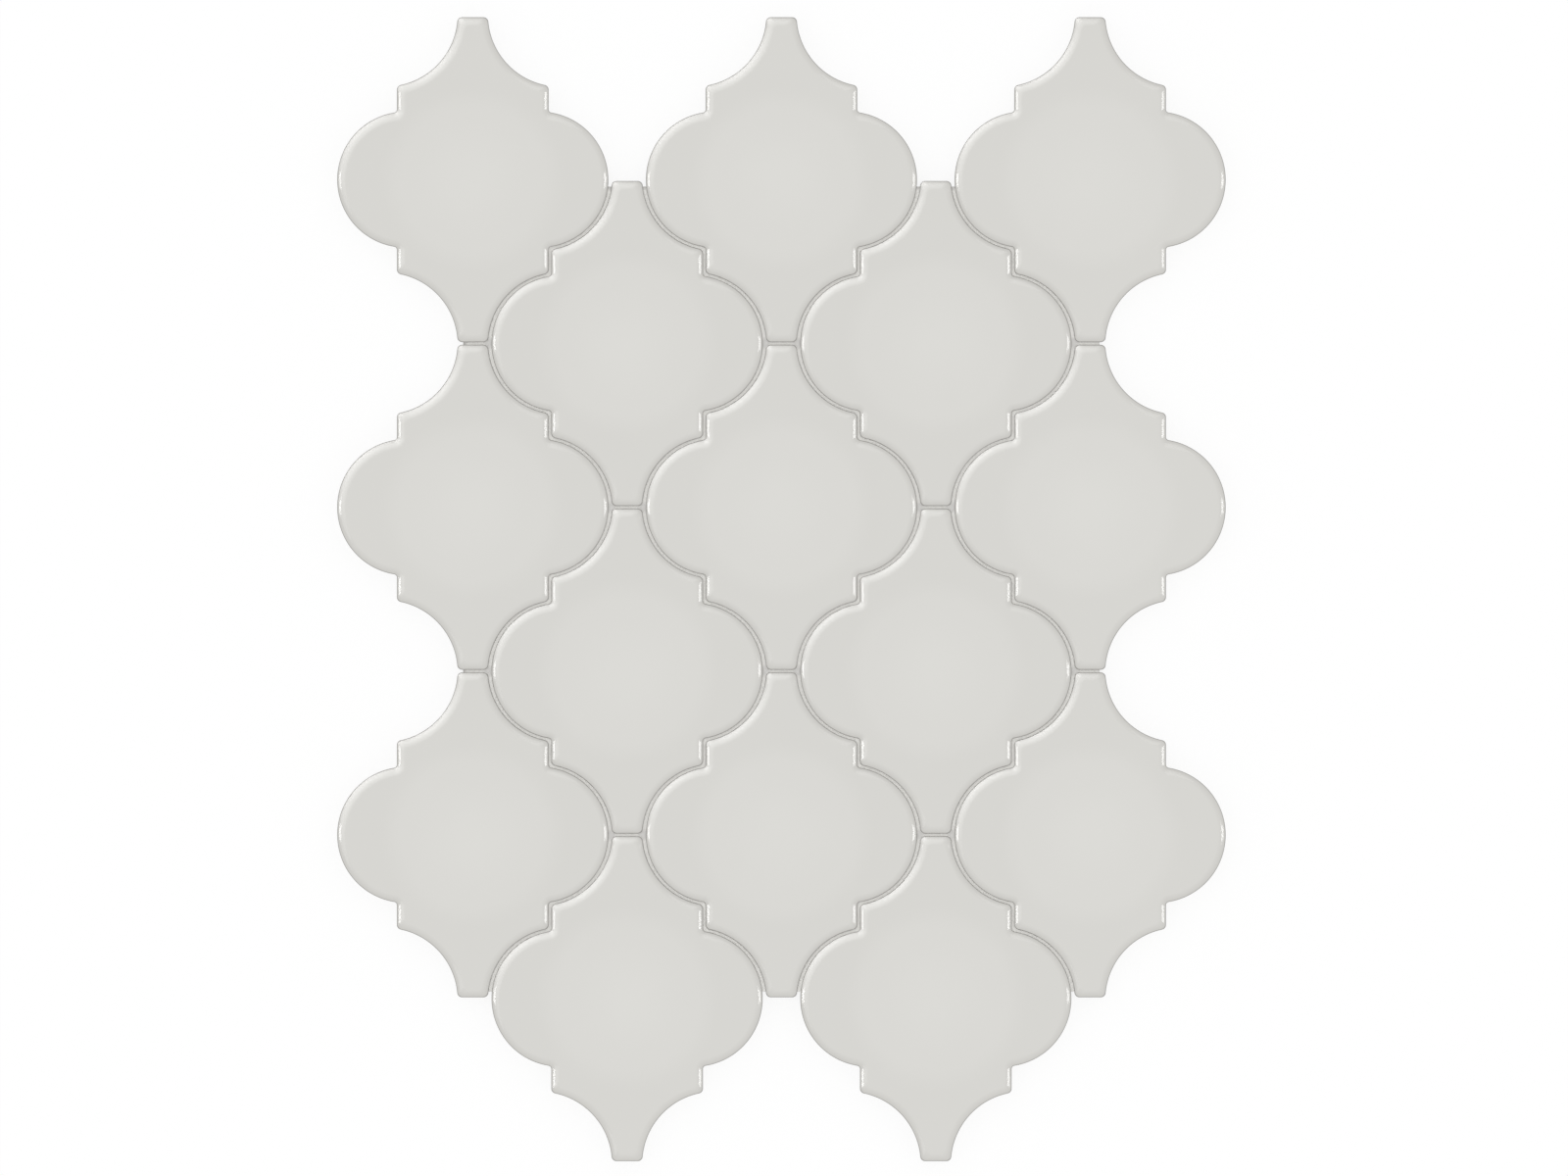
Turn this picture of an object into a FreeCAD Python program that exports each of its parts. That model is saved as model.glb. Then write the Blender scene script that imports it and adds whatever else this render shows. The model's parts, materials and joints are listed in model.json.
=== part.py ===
import FreeCAD, Part
import math
import os

# Edge-bonded mosaic sheet of arabesque (lantern) tiles: five columns of pressed, glazed tiles
# that nest into each other, held in one sheet by a flexible web that fills the joints.
# Millimetres. +X runs across the sheet, +Y up it, and +Z points out of the glazed faces.
# The sheet lies on its back: z = 0 is the plane of the tile backs, and the origin is under the
# middle of the sheet's box.

# Driving dimensions of the outline
tile_width = 77.5  # over the two round lobes
tile_height = 92.9  # over the two tips
tip_width = 8.71  # across a tip's end, before its corners are rounded
lobe_radius = 19.43
joint = 0.76  # between two tiles at their tips, at their steps and under a lobe
neck_rise = 0.27  # of a neck's centre over that of the lobe in it, so the joint opens towards the tip
column_count = 5
row_count = 3

# Driving dimensions of the section
tile_thickness = 6.5
edge_radius = 1.3  # cushion edge all round the glazed face
corner_margin = 0.1  # by which an outer corner's radius is larger than the cushion edge's
inner_corner_radius = 0.95  # where a lobe meets the straight step beside it
back_chamfer = 0.4  # all round the back

# Driving dimensions of the keying slots pressed into the back
slot_pitch = 8.0
slot_width = 4.0
slot_depth = 0.6
slot_rim = 4.0  # plain back left between a slot's end and the tile's side

# Driving dimensions of the joint web
web_drop = 1.3  # from the glazed face down to the top of the web
web_rise = 1.0  # from the plane of the backs up to the underside of the web
web_setback = 1.6  # from a tip's end, or its side, back to the square end of the web

# Places that follow from them, in a tile's own frame with its centre at 0, 0
row_pitch = tile_height + joint
tip_x = tip_width / 2
tip_y = tile_height / 2
outer_corner_radius = edge_radius + corner_margin
lobe_x = tile_width / 2 - lobe_radius  # centre of a lobe
neck_radius = lobe_radius + joint + neck_rise  # a neck runs round the lobe of the tile beside it
neck_y = row_pitch / 2 + neck_rise
neck_x = tip_x + math.sqrt(neck_radius**2 - (neck_y - tip_y) ** 2)
column_pitch = lobe_x + neck_x
step_x = (column_pitch - joint) / 2  # the straight step between lobe and neck
step_low = math.sqrt(lobe_radius**2 - (step_x - lobe_x) ** 2)
step_high = neck_y - math.sqrt(neck_radius**2 - (neck_x - step_x) ** 2)

up = FreeCAD.Vector(0, 0, 1)
every_quarter = [(1, 1), (-1, 1), (-1, -1), (1, -1)]


def point(x, y, z=0.0):
    return FreeCAD.Vector(x, y, z)


def half_width(y):
    """Half of the outline's width at a height above or below the tile's centre."""
    y = abs(y)
    if y <= step_low:
        return lobe_x + math.sqrt(lobe_radius**2 - y**2)
    if y <= step_high:
        return step_x
    return neck_x - math.sqrt(neck_radius**2 - (neck_y - y) ** 2)


def lobe(side):
    """The round side of the tile, from its lower step to its upper one."""
    middle = point(side * tile_width / 2, 0)
    return Part.Arc(point(side * step_x, -step_low), middle, point(side * step_x, step_low)).toShape()


def step_and_neck(side, end):
    """The straight step and the hollow neck of one quarter of the tile."""
    step_top = point(side * step_x, end * step_high)
    step = Part.LineSegment(point(side * step_x, end * step_low), step_top).toShape()
    middle_y = (step_high + tip_y) / 2
    neck = Part.Arc(
        step_top,
        point(side * half_width(middle_y), end * middle_y),
        point(side * tip_x, end * tip_y),
    ).toShape()
    return [step, neck]


def tip(end):
    return Part.LineSegment(point(-tip_x, end * tip_y), point(tip_x, end * tip_y)).toShape()


def upright_edges(solid, corners):
    """The solid's upright edges that stand on the given corners of the outline."""
    found = []
    for edge in solid.Edges:
        low, high = edge.Vertexes[0].Point, edge.Vertexes[-1].Point
        upright = math.hypot(low.x - high.x, low.y - high.y) < 1e-6
        if upright and any(math.hypot(low.x - x, low.y - y) < 1e-3 for x, y in corners):
            found.append(edge)
    return found


def outline_edges(solid, z):
    """The edges of the outline in the level plane at z."""
    return [e for e in solid.Edges if all(abs(v.Z - z) < 1e-6 for v in e.Vertexes)]


def tile_block():
    """The tile's outline with its rounded corners, straight through the thickness."""
    edges = [lobe(1), lobe(-1), tip(1), tip(-1)]
    for side, end in every_quarter:
        edges += step_and_neck(side, end)
    outline = Part.Wire(Part.__sortEdges__(edges))
    block = Part.Face(outline).extrude(up * tile_thickness)
    outer = [(side * tip_x, end * tip_y) for side, end in every_quarter]
    outer += [(side * step_x, end * step_high) for side, end in every_quarter]
    inner = [(side * step_x, end * step_low) for side, end in every_quarter]
    block = block.makeFillet(outer_corner_radius, upright_edges(block, outer))
    return block.makeFillet(inner_corner_radius, upright_edges(block, inner))


def keying_slots():
    """Round-ended slots across the back, each as long as the outline leaves room for."""
    reach = int((tip_y - slot_rim) / slot_pitch)
    end_radius = slot_width / 2
    slots = []
    for k in range(-reach, reach + 1):
        y = k * slot_pitch
        straight = half_width(abs(y) + end_radius) - slot_rim - end_radius
        if straight <= 0:
            continue
        left, right = point(-straight, y), point(straight, y)
        side = FreeCAD.Vector(0, end_radius, 0)
        out = FreeCAD.Vector(end_radius, 0, 0)
        rim = Part.Wire(
            [
                Part.LineSegment(left - side, right - side).toShape(),
                Part.Arc(right - side, right + out, right + side).toShape(),
                Part.LineSegment(right + side, left + side).toShape(),
                Part.Arc(left + side, left - out, left - side).toShape(),
            ]
        )
        slots.append(Part.Face(rim).extrude(up * slot_depth))
    return slots


def tile(block):
    """One pressed tile: cushion edge round the glazed face, chamfered back with keying slots."""
    body = block.makeFillet(edge_radius, outline_edges(block, tile_thickness))
    body = body.makeChamfer(back_chamfer, outline_edges(body, 0.0))
    return body.cut(keying_slots()).Solids[0]


def tile_places():
    """Each tile's name and centre: columns from the left, rows from the top, every second column
    half a row lower than the ones beside it."""
    places = {}
    for column in range(column_count):
        x = (column - (column_count - 1) / 2) * column_pitch
        drop = row_pitch / 4 if column % 2 else -row_pitch / 4
        for row in range(row_count):
            y = ((row_count - 1) / 2 - row) * row_pitch - drop
            places[f"tile_col{column + 1}_row{row + 1}"] = point(x, y)
    return places


def joint_web(block, places):
    """The web that fills the joints, cut off square just inside the sheet's rim."""
    outer_x = (column_count - 1) / 2 * column_pitch + tip_x - web_setback
    outer_y = (row_count - 0.5) / 2 * row_pitch - joint / 2 - web_setback
    height = tile_thickness - web_drop - web_rise
    plate = Part.makeBox(2 * outer_x, 2 * outer_y, height, point(-outer_x, -outer_y, web_rise))
    return plate.cut([block.translated(place) for place in places.values()])


def main():
    os.makedirs("parts", exist_ok=True)
    block = tile_block()
    pressed_tile = tile(block)
    places = tile_places()
    for name, place in places.items():
        pressed_tile.translated(place).exportStep(f"parts/{name}.step")
    web = joint_web(block, places)
    web.exportStep("parts/joint_web.step")
    print("step from", round(step_low, 2), "to", round(step_high, 2), "column pitch", round(column_pitch, 3))
    print("tile", pressed_tile.ShapeType, pressed_tile.isValid(), "faces", len(pressed_tile.Faces))
    print("tile volume", round(pressed_tile.Volume), "box", pressed_tile.BoundBox)
    print("web", web.ShapeType, web.isValid(), "solids", len(web.Solids), "volume", round(web.Volume))
    print("web box", web.BoundBox)


main()
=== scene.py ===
import json
import math

import bmesh
import bpy
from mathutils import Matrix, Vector

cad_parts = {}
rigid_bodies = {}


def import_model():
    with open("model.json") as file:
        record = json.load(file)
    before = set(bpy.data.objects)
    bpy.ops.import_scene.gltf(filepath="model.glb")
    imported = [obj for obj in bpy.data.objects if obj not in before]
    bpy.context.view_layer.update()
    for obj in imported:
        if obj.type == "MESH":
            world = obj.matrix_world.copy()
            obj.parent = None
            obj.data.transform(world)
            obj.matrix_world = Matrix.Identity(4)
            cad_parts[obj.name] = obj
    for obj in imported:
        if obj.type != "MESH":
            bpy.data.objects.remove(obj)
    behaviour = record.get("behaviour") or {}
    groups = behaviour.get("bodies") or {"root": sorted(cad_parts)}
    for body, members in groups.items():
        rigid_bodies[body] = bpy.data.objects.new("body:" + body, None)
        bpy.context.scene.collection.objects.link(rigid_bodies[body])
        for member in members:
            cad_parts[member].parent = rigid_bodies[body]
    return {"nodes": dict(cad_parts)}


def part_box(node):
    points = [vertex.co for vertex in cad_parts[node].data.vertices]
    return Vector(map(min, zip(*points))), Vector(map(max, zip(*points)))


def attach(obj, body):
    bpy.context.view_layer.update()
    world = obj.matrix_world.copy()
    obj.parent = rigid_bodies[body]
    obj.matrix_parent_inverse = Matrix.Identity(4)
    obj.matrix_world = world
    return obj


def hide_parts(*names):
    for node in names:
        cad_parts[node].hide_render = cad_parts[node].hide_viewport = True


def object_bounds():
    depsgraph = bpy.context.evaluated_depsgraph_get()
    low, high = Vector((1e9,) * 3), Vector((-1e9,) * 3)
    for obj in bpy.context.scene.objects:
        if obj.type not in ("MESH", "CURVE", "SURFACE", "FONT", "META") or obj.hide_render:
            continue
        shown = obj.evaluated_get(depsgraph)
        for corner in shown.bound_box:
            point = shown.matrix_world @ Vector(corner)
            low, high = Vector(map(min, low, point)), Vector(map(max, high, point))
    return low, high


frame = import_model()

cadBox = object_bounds()
mm = 0.001
print("frame loaded:", len(frame["nodes"]), "nodes")


# Small helpers for working as by hand
def clearSelection():
    if bpy.context.mode != "OBJECT":
        bpy.ops.object.mode_set(mode="OBJECT")
    bpy.ops.object.select_all(action="DESELECT")


def workOn(piece):
    clearSelection()
    piece.select_set(True)
    bpy.context.view_layer.objects.active = piece


def editSelected():
    bpy.ops.object.mode_set(mode="EDIT")
    bpy.ops.mesh.select_mode(type="VERT")
    bpy.ops.mesh.select_all(action="DESELECT")


def middleOf(node):
    low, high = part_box(node)
    return (low + high) / 2


# How the sheet is laid out, read from the solids
sampleTile = "tile_col3_row2"
tileNodes = sorted(name for name in frame["nodes"] if name.startswith("tile_"))
tileLow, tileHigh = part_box(sampleTile)
layout = {
    "columnPitch": middleOf("tile_col4_row2").x - middleOf(sampleTile).x,
    "rowPitch": middleOf("tile_col3_row1").y - middleOf(sampleTile).y,
    "tileWidth": tileHigh.x - tileLow.x,
    "tileHeight": tileHigh.y - tileLow.y,
    "thickness": tileHigh.z - tileLow.z,
}
layout["joint"] = layout["rowPitch"] - layout["tileHeight"]

# The tile
tileShape = {
    "tipWidth": 8.71 * mm,
    "lobeRadius": 19.43 * mm,
    "neckRise": 0.27 * mm,  # of a neck's centre over that of the lobe in it
    "outerCorner": 1.4 * mm,
    "innerCorner": 0.95 * mm,
    "outerCornerGrowth": 0.1,  # how much rounder the corners get, per length inwards
    "cushion": [  # the cushion edge in mm, from the rim inwards: inset, and drop below the flat face
        (0.0, 0.80), (0.01, 0.72), (0.03, 0.66), (0.06, 0.615), (0.10, 0.58), (0.15, 0.55), (0.20, 0.525),
        (0.28, 0.486), (0.42, 0.420), (0.56, 0.358), (0.70, 0.302), (0.84, 0.251), (0.98, 0.206),
        (1.12, 0.167), (1.40, 0.105), (1.68, 0.062), (1.96, 0.033), (2.24, 0.016), (2.52, 0.006),
        (2.80, 0.0015), (3.0, 0.0),
    ],
    "backChamfer": 0.4 * mm,
    "lobeSteps": 40,
    "neckSteps": 36,
    "cornerSteps": 8,
    "runEnd": 0.08 * mm,  # a short first and last stretch keeps the shading of a straight run true
    "weldWithin": 0.001 * mm,
    "smoothBelow": 30,  # degrees between two faces
}


def placeArcs(shape):  # radius and centres of the outline's arcs, from the middle of the tile
    arcs = {"neckRadius": shape["lobeRadius"] + layout["joint"] + shape["neckRise"]}
    arcs["neckY"] = layout["rowPitch"] / 2 + shape["neckRise"]
    overTip = arcs["neckY"] - layout["tileHeight"] / 2
    arcs["neckX"] = shape["tipWidth"] / 2 + math.sqrt(arcs["neckRadius"] ** 2 - overTip**2)
    arcs["lobeX"] = layout["columnPitch"] - arcs["neckX"]
    arcs["stepX"] = (layout["columnPitch"] - layout["joint"]) / 2
    return arcs


arcs = placeArcs(tileShape)


def spinOn(centre, angle, steps, level):  # an arc from the selected point, anticlockwise if positive
    bpy.ops.mesh.spin(steps=steps, angle=-angle, center=(centre[0], centre[1], level), axis=(0, 0, 1))


def runOn(x, y):  # a straight run from the selected point
    endShare = tileShape["runEnd"] / math.hypot(x, y)
    for share in (endShare, 1 - 2 * endShare, endShare):
        bpy.ops.mesh.extrude_region_move(TRANSFORM_OT_translate={"value": (share * x, share * y, 0)})


def drawQuarter(inset, level):
    shape = tileShape
    lobeX, neckX, neckY = arcs["lobeX"], arcs["neckX"], arcs["neckY"]
    lobeRadius = shape["lobeRadius"] - inset
    neckRadius = arcs["neckRadius"] + inset
    stepX = arcs["stepX"] - inset
    tipY = layout["tileHeight"] / 2 - inset
    inner = shape["innerCorner"] + inset
    outer = shape["outerCorner"] + shape["outerCornerGrowth"] * inset

    # centres of the three corner roundings, each touching the two runs that meet there
    innerX = stepX + inner
    innerY = math.sqrt((lobeRadius + inner) ** 2 - (innerX - lobeX) ** 2)
    outerX = stepX - outer
    outerY = neckY - math.sqrt((neckRadius + outer) ** 2 - (neckX - outerX) ** 2)
    tipCornerY = tipY - outer
    tipCornerX = neckX - math.sqrt((neckRadius + outer) ** 2 - (neckY - tipCornerY) ** 2)

    lobeTurn = math.atan2(innerY, innerX - lobeX)
    stepTurn = math.atan2(neckY - outerY, neckX - outerX)
    tipTurn = math.atan2(neckY - tipCornerY, neckX - tipCornerX)

    bpy.ops.mesh.primitive_plane_add(size=mm, location=(0, 0, level))
    bpy.ops.mesh.merge(type="CENTER")
    bpy.ops.transform.translate(value=(lobeX + lobeRadius, 0, 0))
    spinOn((lobeX, 0), lobeTurn, shape["lobeSteps"], level)
    spinOn((innerX, innerY), -lobeTurn, shape["cornerSteps"], level)
    runOn(0, outerY - innerY)
    spinOn((outerX, outerY), stepTurn, shape["cornerSteps"], level)
    spinOn((neckX, neckY), tipTurn - stepTurn, shape["neckSteps"], level)
    spinOn((tipCornerX, tipCornerY), math.pi / 2 - tipTurn, shape["cornerSteps"], level)
    bpy.ops.mesh.extrude_region_move(TRANSFORM_OT_translate={"value": (-tipCornerX, 0, 0)})
    bpy.ops.mesh.select_linked()


def tileRings():  # inset and level of each ring, from the back round the side to the flat face
    chamfer = tileShape["backChamfer"]
    rings = [(chamfer, 0.0), (0.0, chamfer)]
    for inset, drop in tileShape["cushion"]:
        rings.append((inset * mm, layout["thickness"] - drop * mm))
    return rings


def drawRings(tile, rings):  # a quarter of each ring, kept apart by a vertex group
    editSelected()
    bpy.ops.mesh.select_all(action="SELECT")
    bpy.ops.mesh.delete(type="VERT")
    for k, (inset, level) in enumerate(rings):
        bpy.ops.mesh.select_all(action="DESELECT")
        drawQuarter(inset, level)
        bpy.ops.object.vertex_group_assign_new()
        tile.vertex_groups.active.name = f"ring{k}"
    bpy.ops.object.mode_set(mode="OBJECT")


def mirrorQuarters(tile):
    mirror = tile.modifiers.new("fourQuarters", "MIRROR")
    mirror.use_axis = (True, True, False)
    mirror.merge_threshold = tileShape["weldWithin"]
    bpy.ops.object.modifier_apply(modifier=mirror.name)


def selectRing(k):
    bpy.ops.object.vertex_group_set_active(group=f"ring{k}")
    bpy.ops.object.vertex_group_select()


def skinRings(count):  # bridges ring to ring, then closes the back and the face
    editSelected()
    for k in range(count - 1):
        bpy.ops.mesh.select_all(action="DESELECT")
        selectRing(k)
        selectRing(k + 1)
        bpy.ops.mesh.bridge_edge_loops()
    for k in (0, count - 1):
        bpy.ops.mesh.select_all(action="DESELECT")
        selectRing(k)
        bpy.ops.mesh.edge_face_add()
    bpy.ops.mesh.select_all(action="SELECT")
    bpy.ops.mesh.normals_make_consistent(inside=False)
    bpy.ops.object.mode_set(mode="OBJECT")


def modelTile():
    clearSelection()
    bpy.ops.mesh.primitive_plane_add(size=mm)
    tile = bpy.context.object
    tile.name = "arabesqueTile"
    rings = tileRings()
    drawRings(tile, rings)
    mirrorQuarters(tile)
    skinRings(len(rings))
    tile.vertex_groups.clear()
    return tile


# The keying slots in the back of the tile
slotShape = {
    "pitch": 8.0 * mm,
    "width": 4.0 * mm,
    "depth": 0.6 * mm,
    "rim": 4.0 * mm,
    "roundSteps": 24,
    "middleBand": 0.1 * mm,  # what lies nearer to the middle line stays when a slot is pulled out
}


def halfWidthAt(y):  # of the tile's outline, at a height above its middle
    lobeRadius = tileShape["lobeRadius"]
    lobe = arcs["lobeX"] + math.sqrt(max(lobeRadius**2 - y**2, 0))
    neck = arcs["neckX"] - math.sqrt(max(arcs["neckRadius"] ** 2 - (arcs["neckY"] - y) ** 2, 0))
    return lobe if lobe > arcs["stepX"] and y < lobeRadius else min(arcs["stepX"], neck)


def modelSlotCutter(y, reach):  # a round bar, pulled apart into a round-ended slot
    shape = slotShape
    clearSelection()
    bpy.ops.mesh.primitive_cylinder_add(
        vertices=shape["roundSteps"],
        radius=shape["width"] / 2,
        depth=2 * shape["depth"],
        location=(0, y, 0),
    )
    cutter = bpy.context.object
    bpy.ops.object.transform_apply(location=True)
    for side in (1, -1):
        editSelected()
        mesh = bmesh.from_edit_mesh(cutter.data)
        for vert in mesh.verts:
            vert.select = vert.co.x * side > shape["middleBand"]
        mesh.select_flush_mode()
        bpy.ops.transform.translate(value=(side * reach, 0, 0))
        bpy.ops.object.mode_set(mode="OBJECT")
    return cutter


def modelSlotCutters():  # one cutter for all the slots, each as long as the outline leaves room for
    shape = slotShape
    cutters = []
    count = int((layout["tileHeight"] / 2 - shape["rim"]) / shape["pitch"])
    for k in range(-count, count + 1):
        y = k * shape["pitch"]
        reach = halfWidthAt(abs(y) + shape["width"] / 2) - shape["rim"] - shape["width"] / 2
        if reach > 0:
            cutters.append(modelSlotCutter(y, reach))
    clearSelection()
    for cutter in cutters:
        cutter.select_set(True)
    bpy.context.view_layer.objects.active = cutters[0]
    bpy.ops.object.join()
    return bpy.context.object


def cutSlots(tile):
    cutterSet = modelSlotCutters()
    workOn(tile)
    cut = tile.modifiers.new("keyingSlots", "BOOLEAN")
    cut.operation = "DIFFERENCE"
    cut.solver = "EXACT"
    cut.object = cutterSet
    bpy.ops.object.modifier_apply(modifier=cut.name)
    bpy.data.objects.remove(cutterSet)


def mapFace(tile):  # a flat map of the tile, from 0 to 1 over its width and height
    tileMap = tile.data.uv_layers.new(name="tileFace")
    for loop in tile.data.loops:
        place = tile.data.vertices[loop.vertex_index].co
        tileMap.data[loop.index].uv = (
            place.x / layout["tileWidth"] + 0.5,
            place.y / layout["tileHeight"] + 0.5,
        )


# Helpers for materials
noiseSpan = (0.3, 0.7)  # nearly all values of a noise lie between these
mixSockets = {"RGBA": (6, 7, 2), "FLOAT": (2, 3, 0)}  # of a Mix node: first, second and result


def newMaterial(name):
    material = bpy.data.materials.new(name)
    material.use_nodes = True
    shader = material.node_tree.nodes["Principled BSDF"]
    return material, material.node_tree, shader


def addNode(tree, kind, **settings):
    node = tree.nodes.new(kind)
    for name, value in settings.items():
        setattr(node, name, value)
    return node


def feed(tree, value, socket):  # links another socket, or sets a plain colour or number
    if isinstance(value, bpy.types.NodeSocket):
        tree.links.new(value, socket)
    else:
        socket.default_value = (*value, 1) if isinstance(value, tuple) else value


def objectCoords(tree):  # the place on the sheet
    return addNode(tree, "ShaderNodeTexCoord").outputs["Object"]


def partsOf(tree, coords):
    parts = addNode(tree, "ShaderNodeSeparateXYZ")
    tree.links.new(coords, parts.inputs[0])
    return parts.outputs


def noiseOn(tree, coords, scale, detail=3.0, roughness=0.5):
    noise = addNode(tree, "ShaderNodeTexNoise")
    noise.inputs["Scale"].default_value = scale
    noise.inputs["Detail"].default_value = detail
    noise.inputs["Roughness"].default_value = roughness
    tree.links.new(coords, noise.inputs["Vector"])
    return noise.outputs["Fac"]


def remap(tree, value, source, target=(0.0, 1.0), smooth=True):
    node = addNode(tree, "ShaderNodeMapRange", interpolation_type="SMOOTHSTEP" if smooth else "LINEAR")
    names = ("From Min", "From Max", "To Min", "To Max")
    for name, number in zip(names, (*source, *target)):
        node.inputs[name].default_value = number
    tree.links.new(value, node.inputs["Value"])
    return node.outputs["Result"]


def calculate(tree, operation, *values):
    node = addNode(tree, "ShaderNodeMath", operation=operation)
    for value, socket in zip(values, node.inputs):
        feed(tree, value, socket)
    return node.outputs[0]


def mixed(tree, factor, first, second, kind="RGBA"):
    node = addNode(tree, "ShaderNodeMix", data_type=kind)
    firstSocket, secondSocket, result = mixSockets[kind]
    tree.links.new(factor, node.inputs["Factor"])
    feed(tree, first, node.inputs[firstSocket])
    feed(tree, second, node.inputs[secondSocket])
    return node.outputs[result]


def around(middle, spread):
    return middle - spread, middle + spread


def bumpOn(tree, shader, height, depth):
    bump = addNode(tree, "ShaderNodeBump")
    bump.inputs["Distance"].default_value = depth
    tree.links.new(height, bump.inputs["Height"])
    tree.links.new(bump.outputs["Normal"], shader.inputs["Normal"])


# Bare clay of the back, its colour also at the foot of the side
bisqueLook = {
    "pale": (0.74, 0.71, 0.65),
    "speck": (0.60, 0.56, 0.50),
    "speckRange": (0.52, 0.68),  # values of the grain over which the specks come up
    "speckShare": 0.7,
    "grainScale": 2500.0,
    "grainHeight": 0.03 * mm,
    "blotchScale": 100.0,
    "roughness": 0.85,
    "roughnessSpread": 0.08,
}


def makeBisque():
    look = bisqueLook
    material, tree, shader = newMaterial("bareClay")
    coords = objectCoords(tree)
    grain = noiseOn(tree, coords, look["grainScale"], detail=4.0, roughness=0.6)
    specks = remap(tree, grain, look["speckRange"], (0.0, look["speckShare"]))
    feed(tree, mixed(tree, specks, look["pale"], look["speck"]), shader.inputs["Base Color"])
    blotch = noiseOn(tree, coords, look["blotchScale"])
    rough = remap(tree, blotch, noiseSpan, around(look["roughness"], look["roughnessSpread"]))
    feed(tree, rough, shader.inputs["Roughness"])
    bumpOn(tree, shader, grain, look["grainHeight"])
    return material


# Pale grey glaze of the face, the cushion edge and most of the side
glazeLook = {
    "rim": (0.668, 0.660, 0.630),
    "paleMiddleEdge": (0.690, 0.682, 0.652),  # the face is lighter in a round patch in its middle
    "paleMiddle": (0.705, 0.698, 0.667),
    "paleMiddleReach": 27.5 * mm,
    "paleMiddleStops": (0.0, 0.29, 0.95),  # from its border to its middle
    "edgeShade": (0.560, 0.550, 0.522),  # painted shade, darker where the edge turns down
    "edgeShadeFrom": 0.03 * mm,  # below the flat face
    "edgeShadeTo": 0.825 * mm,
    "edgeShadePower": 0.6,
    "rimShadeLine": (0.26, 0.25, 0.235),  # painted shade: a dark line right at the rim, where the edge drops away
    "rimShadeLineFrom": 0.47 * mm,
    "rimShadeLineTo": 0.62 * mm,
    "rimShadeLineEnd": 1.0 * mm,
    "runLine": 1.7 * mm,  # the glaze stops here on the side of the tile, in a line that wanders
    "runBlur": 0.08 * mm,
    "runWander": 0.45 * mm,
    "runScale": 90.0,
    "cloudScale": 45.0,
    "cloudDepth": 0.04,
    "cloudTone": 0.9,  # of the clouds against the rim's colour
    "rippleScale": 130.0,
    "rippleHeight": 0.004 * mm,
    "roughness": 0.10,
    "roughnessSpread": 0.01,
    "refraction": 1.5,
}


def paleMiddleGlaze(tree):  # the tone of the flat face, lighter in a round patch in its middle, from the patch's border to its middle
    look = glazeLook
    faceMap = addNode(tree, "ShaderNodeUVMap", uv_map="tileFace")
    centred = addNode(tree, "ShaderNodeMapping")
    across, along = layout["tileWidth"] / look["paleMiddleReach"], layout["tileHeight"] / look["paleMiddleReach"]
    centred.inputs["Location"].default_value = (-across / 2, -along / 2, 0)
    centred.inputs["Scale"].default_value = (across, along, 0)
    tree.links.new(faceMap.outputs["UV"], centred.inputs["Vector"])
    ball = addNode(tree, "ShaderNodeTexGradient", gradient_type="SPHERICAL")
    tree.links.new(centred.outputs["Vector"], ball.inputs["Vector"])
    paleMiddle = addNode(tree, "ShaderNodeValToRGB")
    paleMiddle.color_ramp.interpolation = "EASE"
    stops = paleMiddle.color_ramp.elements
    stops.new(look["paleMiddleStops"][1])
    for stop, place, tone in zip(stops, look["paleMiddleStops"], ("rim", "paleMiddleEdge", "paleMiddle")):
        stop.position = place
        stop.color = (*look[tone], 1)
    tree.links.new(ball.outputs["Fac"], paleMiddle.inputs["Fac"])
    return paleMiddle.outputs["Color"]


def shadeCushionEdge(tree, height, middleToned):  # painted shade on the cushion edge, darker as it turns down, and a dark painted line of shade at the rim, by the height
    look, top = glazeLook, layout["thickness"]
    # painted shade, deepening as the edge turns down
    turned = remap(tree, height, (top - look["edgeShadeFrom"], top - look["edgeShadeTo"]), smooth=False)
    edgeShaded = mixed(tree, calculate(tree, "POWER", turned, look["edgeShadePower"]), middleToned, look["edgeShade"])
    # a dark line of painted shade just below the rim
    intoRim = remap(tree, height, (top - look["rimShadeLineFrom"], top - look["rimShadeLineTo"]))
    outOfRim = remap(tree, height, (top - look["rimShadeLineTo"], top - look["rimShadeLineEnd"]), (1.0, 0.0))
    return mixed(tree, calculate(tree, "MULTIPLY", intoRim, outOfRim), edgeShaded, look["rimShadeLine"])


def cloudGlaze(tree, coords, toned):  # faint darker clouds, different on each tile
    look = glazeLook
    clouds = noiseOn(tree, coords, look["cloudScale"], detail=2.0)
    share = remap(tree, clouds, noiseSpan, (0.0, look["cloudDepth"]))
    return mixed(tree, share, toned, tuple(look["cloudTone"] * part for part in look["rim"]))


def belowRunLine(tree, coords, height):  # 1 where the side is bare
    look = glazeLook
    wander = noiseOn(tree, coords, look["runScale"], detail=2.0)
    shift = remap(tree, wander, noiseSpan, around(0.0, look["runWander"]), smooth=False)
    low, high = around(look["runLine"], look["runBlur"])
    return remap(tree, calculate(tree, "ADD", height, shift), (high, low))


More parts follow.
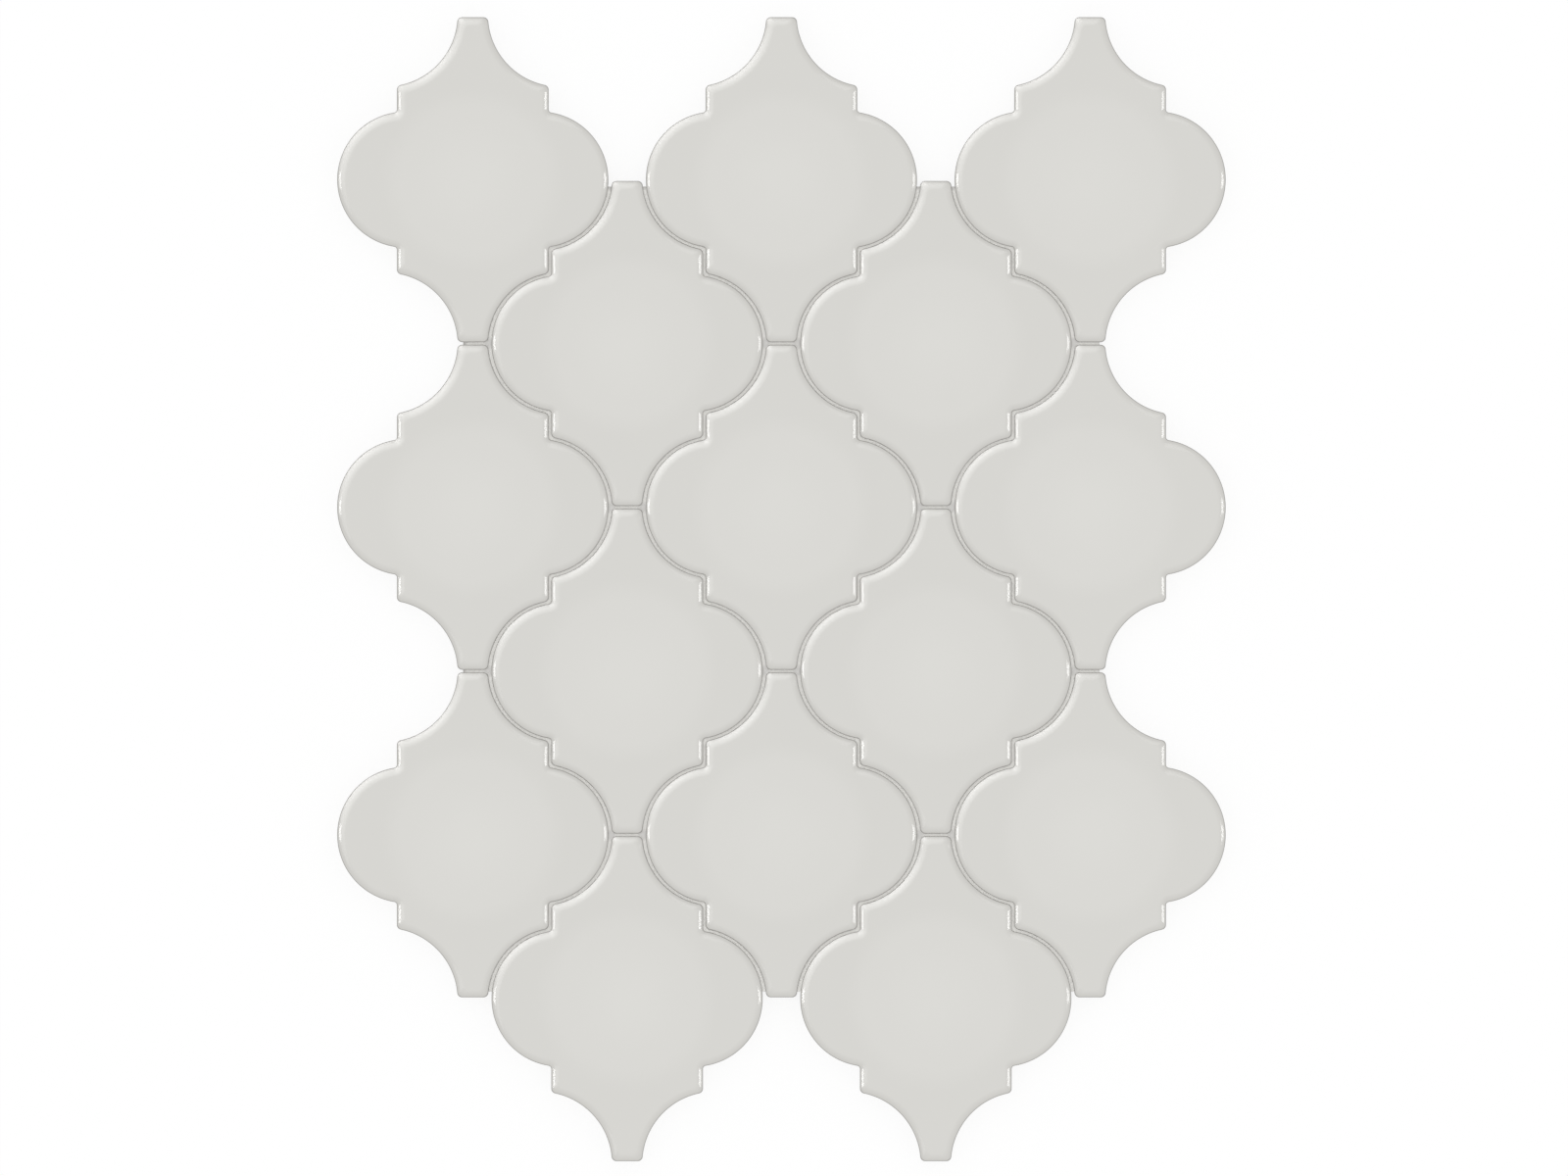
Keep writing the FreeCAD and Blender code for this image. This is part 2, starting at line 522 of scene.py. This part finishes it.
def makeGlaze():
    look = glazeLook
    material, tree, shader = newMaterial("paleGreyGlaze")
    coords = objectCoords(tree)
    height = partsOf(tree, coords)["Z"]
    glazed = cloudGlaze(tree, coords, shadeCushionEdge(tree, height, paleMiddleGlaze(tree)))
    bare = belowRunLine(tree, coords, height)
    feed(tree, mixed(tree, bare, glazed, bisqueLook["pale"]), shader.inputs["Base Color"])
    polish = noiseOn(tree, coords, look["rippleScale"], detail=4.0)
    sheen = remap(tree, polish, noiseSpan, around(look["roughness"], look["roughnessSpread"]))
    dulled = mixed(tree, bare, sheen, bisqueLook["roughness"], kind="FLOAT")
    feed(tree, dulled, shader.inputs["Roughness"])
    bumpOn(tree, shader, noiseOn(tree, coords, look["rippleScale"], detail=1.0), look["rippleHeight"])
    shader.inputs["IOR"].default_value = look["refraction"]
    return material


# Flexible joint web
webLook = {
    "pale": (0.87, 0.86, 0.83),
    "dark": (0.77, 0.76, 0.73),
    "darkRange": (0.35, 0.65),  # values of the grain over which the dark comes up
    "darkShare": 0.6,
    "junctionShade": (0.64, 0.63, 0.61),  # painted shade: darker where three tiles meet
    "junctionShadePlace": 4.75 * mm,  # of that spot, sideways from the middle of two tips
    "junctionShadeCore": 0.6 * mm,
    "junctionShadeReach": 2.2 * mm,
    "endShade": (0.52, 0.51, 0.49),  # and painted shade at its upper and left ends, where it is cut off square at the sheet's rim
    "endShadeWidth": 1.2 * mm,
    "grainScale": 3000.0,
    "grainHeight": 0.02 * mm,
    "cloudScale": 100.0,
    "roughness": 0.7,
    "roughnessSpread": 0.06,
}


def toNearestMeeting(tree, place):  # how far it is to the nearest spot where three tiles meet
    pitch, halfRow = layout["columnPitch"], layout["rowPitch"] / 2
    raised = calculate(tree, "ADD", place["Y"], halfRow / 2)
    folded = addNode(tree, "ShaderNodeCombineXYZ")  # the sheet folded up to one cell of its pattern
    feed(tree, calculate(tree, "PINGPONG", place["X"], pitch), folded.inputs["X"])
    feed(tree, calculate(tree, "PINGPONG", raised, halfRow), folded.inputs["Y"])
    besideTip = webLook["junctionShadePlace"]
    distances = []
    for spot in ((besideTip, 0, 0), (pitch - besideTip, halfRow, 0)):
        away = addNode(tree, "ShaderNodeVectorMath", operation="DISTANCE")
        away.inputs[1].default_value = spot
        tree.links.new(folded.outputs[0], away.inputs[0])
        distances.append(away.outputs["Value"])
    return calculate(tree, "MINIMUM", *distances)


def nearShadedEnd(tree, place):  # rises to 1 at the upper and the left ends, where shade is painted
    low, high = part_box("joint_web")
    width = webLook["endShadeWidth"]
    left = remap(tree, place["X"], (low.x + width, low.x), smooth=False)
    upper = remap(tree, place["Y"], (high.y - width, high.y), smooth=False)
    return calculate(tree, "MAXIMUM", left, upper)


def makeWeb():
    look = webLook
    material, tree, shader = newMaterial("jointRubber")
    coords = objectCoords(tree)
    place = partsOf(tree, coords)
    grain = noiseOn(tree, coords, look["grainScale"])
    darkness = remap(tree, grain, look["darkRange"], (0.0, look["darkShare"]))
    rubber = mixed(tree, darkness, look["pale"], look["dark"])
    # painted shade around the spots where three tiles meet
    junctionShading = remap(tree, toNearestMeeting(tree, place), (look["junctionShadeReach"], look["junctionShadeCore"]))
    junctionShaded = mixed(tree, junctionShading, rubber, look["junctionShade"])
    # painted shade at the upper and left ends of the web
    feed(tree, mixed(tree, nearShadedEnd(tree, place), junctionShaded, look["endShade"]), shader.inputs["Base Color"])
    clouds = noiseOn(tree, coords, look["cloudScale"], detail=2.0)
    rough = remap(tree, clouds, noiseSpan, around(look["roughness"], look["roughnessSpread"]))
    feed(tree, rough, shader.inputs["Roughness"])
    bumpOn(tree, shader, grain, look["grainHeight"])
    return material


def dressTile(tile, glaze, bisque):  # glaze all over, bare clay on the back, its chamfer and its slots
    tile.data.materials.clear()
    tile.data.materials.append(glaze)
    tile.data.materials.append(bisque)
    workOn(tile)
    editSelected()
    bpy.ops.mesh.select_mode(type="FACE")
    mesh = bmesh.from_edit_mesh(tile.data)
    for face in mesh.faces:
        face.select = face.calc_center_median().z < tileShape["backChamfer"] + slotShape["depth"]
    bmesh.update_edit_mesh(tile.data)
    tile.active_material_index = 1
    bpy.ops.object.material_slot_assign()
    bpy.ops.object.mode_set(mode="OBJECT")
    bpy.ops.object.shade_smooth_by_angle(angle=math.radians(tileShape["smoothBelow"]))


glaze, bisque, webRubber = makeGlaze(), makeBisque(), makeWeb()
print("materials made")
masterTile = modelTile()
cutSlots(masterTile)
mapFace(masterTile)
dressTile(masterTile, glaze, bisque)
print("tile modelled:", len(masterTile.data.polygons), "faces")

for node in tileNodes:
    workOn(masterTile)
    bpy.ops.object.duplicate()
    tile = bpy.context.object
    tile.name = node.replace("tile_", "glazed_tile_")
    middle = middleOf(node)
    tile.location = (middle.x, middle.y, 0)
    bpy.ops.object.transform_apply(location=True)
    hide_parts(node)
    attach(tile, "root")
bpy.data.objects.remove(masterTile)
print("tiles laid:", len(tileNodes))

webNode = frame["nodes"]["joint_web"]
webNode.data.materials.clear()
webNode.data.materials.append(webRubber)
print("web dressed")

# Floor
floorLook = {
    "size": 12.0,
    "level": -0.05 * mm,  # a hair under the backs of the tiles, so the two planes don't fight
    "paper": (0.8, 0.8, 0.8),  # how it lights the sides of the tiles
    "shadowShare": 0.14,  # of the white seen in it is lit paper that takes the shadow, the rest glows
    "roughness": 0.9,
}


def makePaper():
    look = floorLook
    material, tree, shader = newMaterial("palePaper")
    shader.inputs["Roughness"].default_value = look["roughness"]
    shader.inputs["Specular IOR Level"].default_value = 0.0
    rays = addNode(tree, "ShaderNodeLightPath").outputs
    seen = calculate(tree, "MAXIMUM", rays["Is Camera Ray"], rays["Is Glossy Ray"])
    seen = calculate(tree, "MAXIMUM", seen, rays["Is Transmission Ray"])
    feed(tree, mixed(tree, seen, look["paper"], (look["shadowShare"],) * 3), shader.inputs["Base Color"])
    glow = addNode(tree, "ShaderNodeEmission")
    feed(tree, calculate(tree, "MULTIPLY", seen, 1 - look["shadowShare"]), glow.inputs["Strength"])
    both = addNode(tree, "ShaderNodeAddShader")
    tree.links.new(shader.outputs[0], both.inputs[0])
    tree.links.new(glow.outputs[0], both.inputs[1])
    tree.links.new(both.outputs[0], tree.nodes["Material Output"].inputs["Surface"])
    return material


def layFloor():
    clearSelection()
    bpy.ops.mesh.primitive_plane_add(size=floorLook["size"], location=(0, 0, floorLook["level"]))
    floor = bpy.context.object
    floor.name = "paleFloor"
    floor.data.materials.append(makePaper())


# Camera, straight over the sheet
photo = {
    "width": 1600,
    "sheetWidth": 906.67,  # of the sheet in the photograph, in pixels
    "sheetMiddle": (-2.6, -1.2),  # from the middle of the frame, right and up
    "lens": 1000.0,
    "sensor": 36.0,
    "sightLimit": 200.0,  # metres
}


def placeCamera():
    metresPerPixel = (cadBox[1].x - cadBox[0].x) / photo["sheetWidth"]
    across = photo["width"] * metresPerPixel
    cameraData = bpy.data.cameras.new("overhead")
    cameraData.lens = photo["lens"]
    cameraData.sensor_width = photo["sensor"]
    cameraData.clip_end = photo["sightLimit"]
    camera = bpy.data.objects.new("overhead", cameraData)
    bpy.context.collection.objects.link(camera)
    distance = across * photo["lens"] / photo["sensor"]
    camera.location = (
        -photo["sheetMiddle"][0] * metresPerPixel,
        -photo["sheetMiddle"][1] * metresPerPixel,
        layout["thickness"] + distance,
    )
    bpy.context.scene.camera = camera


# Light. The sky lights the sheet evenly, and the lamps only show as reflections in the glaze.
# They hang by the compass of the photograph: azimuth from +X towards +Y, tilt from straight overhead.
sky = {"strength": 1.0, "colour": (1.0, 1.0, 1.0)}
lampDistance = 20.0  # far enough that all the tiles mirror the lamps alike
lamps = {
    "leftStrip": {"azimuth": 179, "tilt": 39, "size": (2.8, 5.4), "radiance": 8.2},
    "rightStrip": {"azimuth": 1.0, "tilt": 36, "size": (2.5, 6.2), "radiance": 7.9},
    "keyBox": {
        "azimuth": 131,
        "tilt": 30,
        "size": (24.8, 18.6),
        "radiance": 6.3,
        "heart": -0.656,  # its brightest spot, from the middle of the lamp to its lower edge at -1
        "fullFrom": 0.73,  # of the way from its border to its heart, and from there on it is full
    },
}


def softenEdges(data, lamp):  # brightest at its heart, and fading to the light of the sky
    data.use_nodes = True
    tree = data.node_tree
    across = addNode(tree, "ShaderNodeNewGeometry").outputs["Parametric"]
    reach = 1 + abs(lamp["heart"])
    centred = addNode(tree, "ShaderNodeMapping")
    centred.inputs["Location"].default_value = (-1, (-1 - lamp["heart"]) / reach, 0)
    centred.inputs["Scale"].default_value = (2, 2 / reach, 0)
    tree.links.new(across, centred.inputs["Vector"])
    ball = addNode(tree, "ShaderNodeTexGradient", gradient_type="SPHERICAL")
    tree.links.new(centred.outputs["Vector"], ball.inputs["Vector"])
    edge = sky["strength"] / lamp["radiance"]
    fade = remap(tree, ball.outputs["Fac"], (0.0, lamp["fullFrom"]), (edge, 1.0), smooth=False)
    tree.links.new(fade, tree.nodes["Emission"].inputs["Strength"])


def hangLamp(name, lamp):
    azimuth, tilt = math.radians(lamp["azimuth"]), math.radians(lamp["tilt"])
    sideways = math.sin(tilt)
    outward = Vector((sideways * math.cos(azimuth), sideways * math.sin(azimuth), math.cos(tilt)))
    data = bpy.data.lights.new(name, "AREA")
    data.shape = "RECTANGLE"
    data.size, data.size_y = lamp["size"]
    data.energy = lamp["radiance"] * math.pi * data.size * data.size_y
    if "heart" in lamp:
        softenEdges(data, lamp)
    light = bpy.data.objects.new(name, data)
    bpy.context.collection.objects.link(light)
    light.location = outward * lampDistance
    light.rotation_euler = (-outward).to_track_quat("-Z", "Y").to_euler()
    light.visible_camera = False
    light.visible_diffuse = False


def lightWorld():
    world = bpy.data.worlds.new("softRoom")
    bpy.context.scene.world = world
    world.use_nodes = True
    room = world.node_tree.nodes["Background"]
    room.inputs["Color"].default_value = (*sky["colour"], 1)
    room.inputs["Strength"].default_value = sky["strength"]


layFloor()
placeCamera()
for name, lamp in lamps.items():
    hangLamp(name, lamp)
lightWorld()
bpy.context.scene.view_settings.view_transform = "Standard"
print("floor, camera and light set")
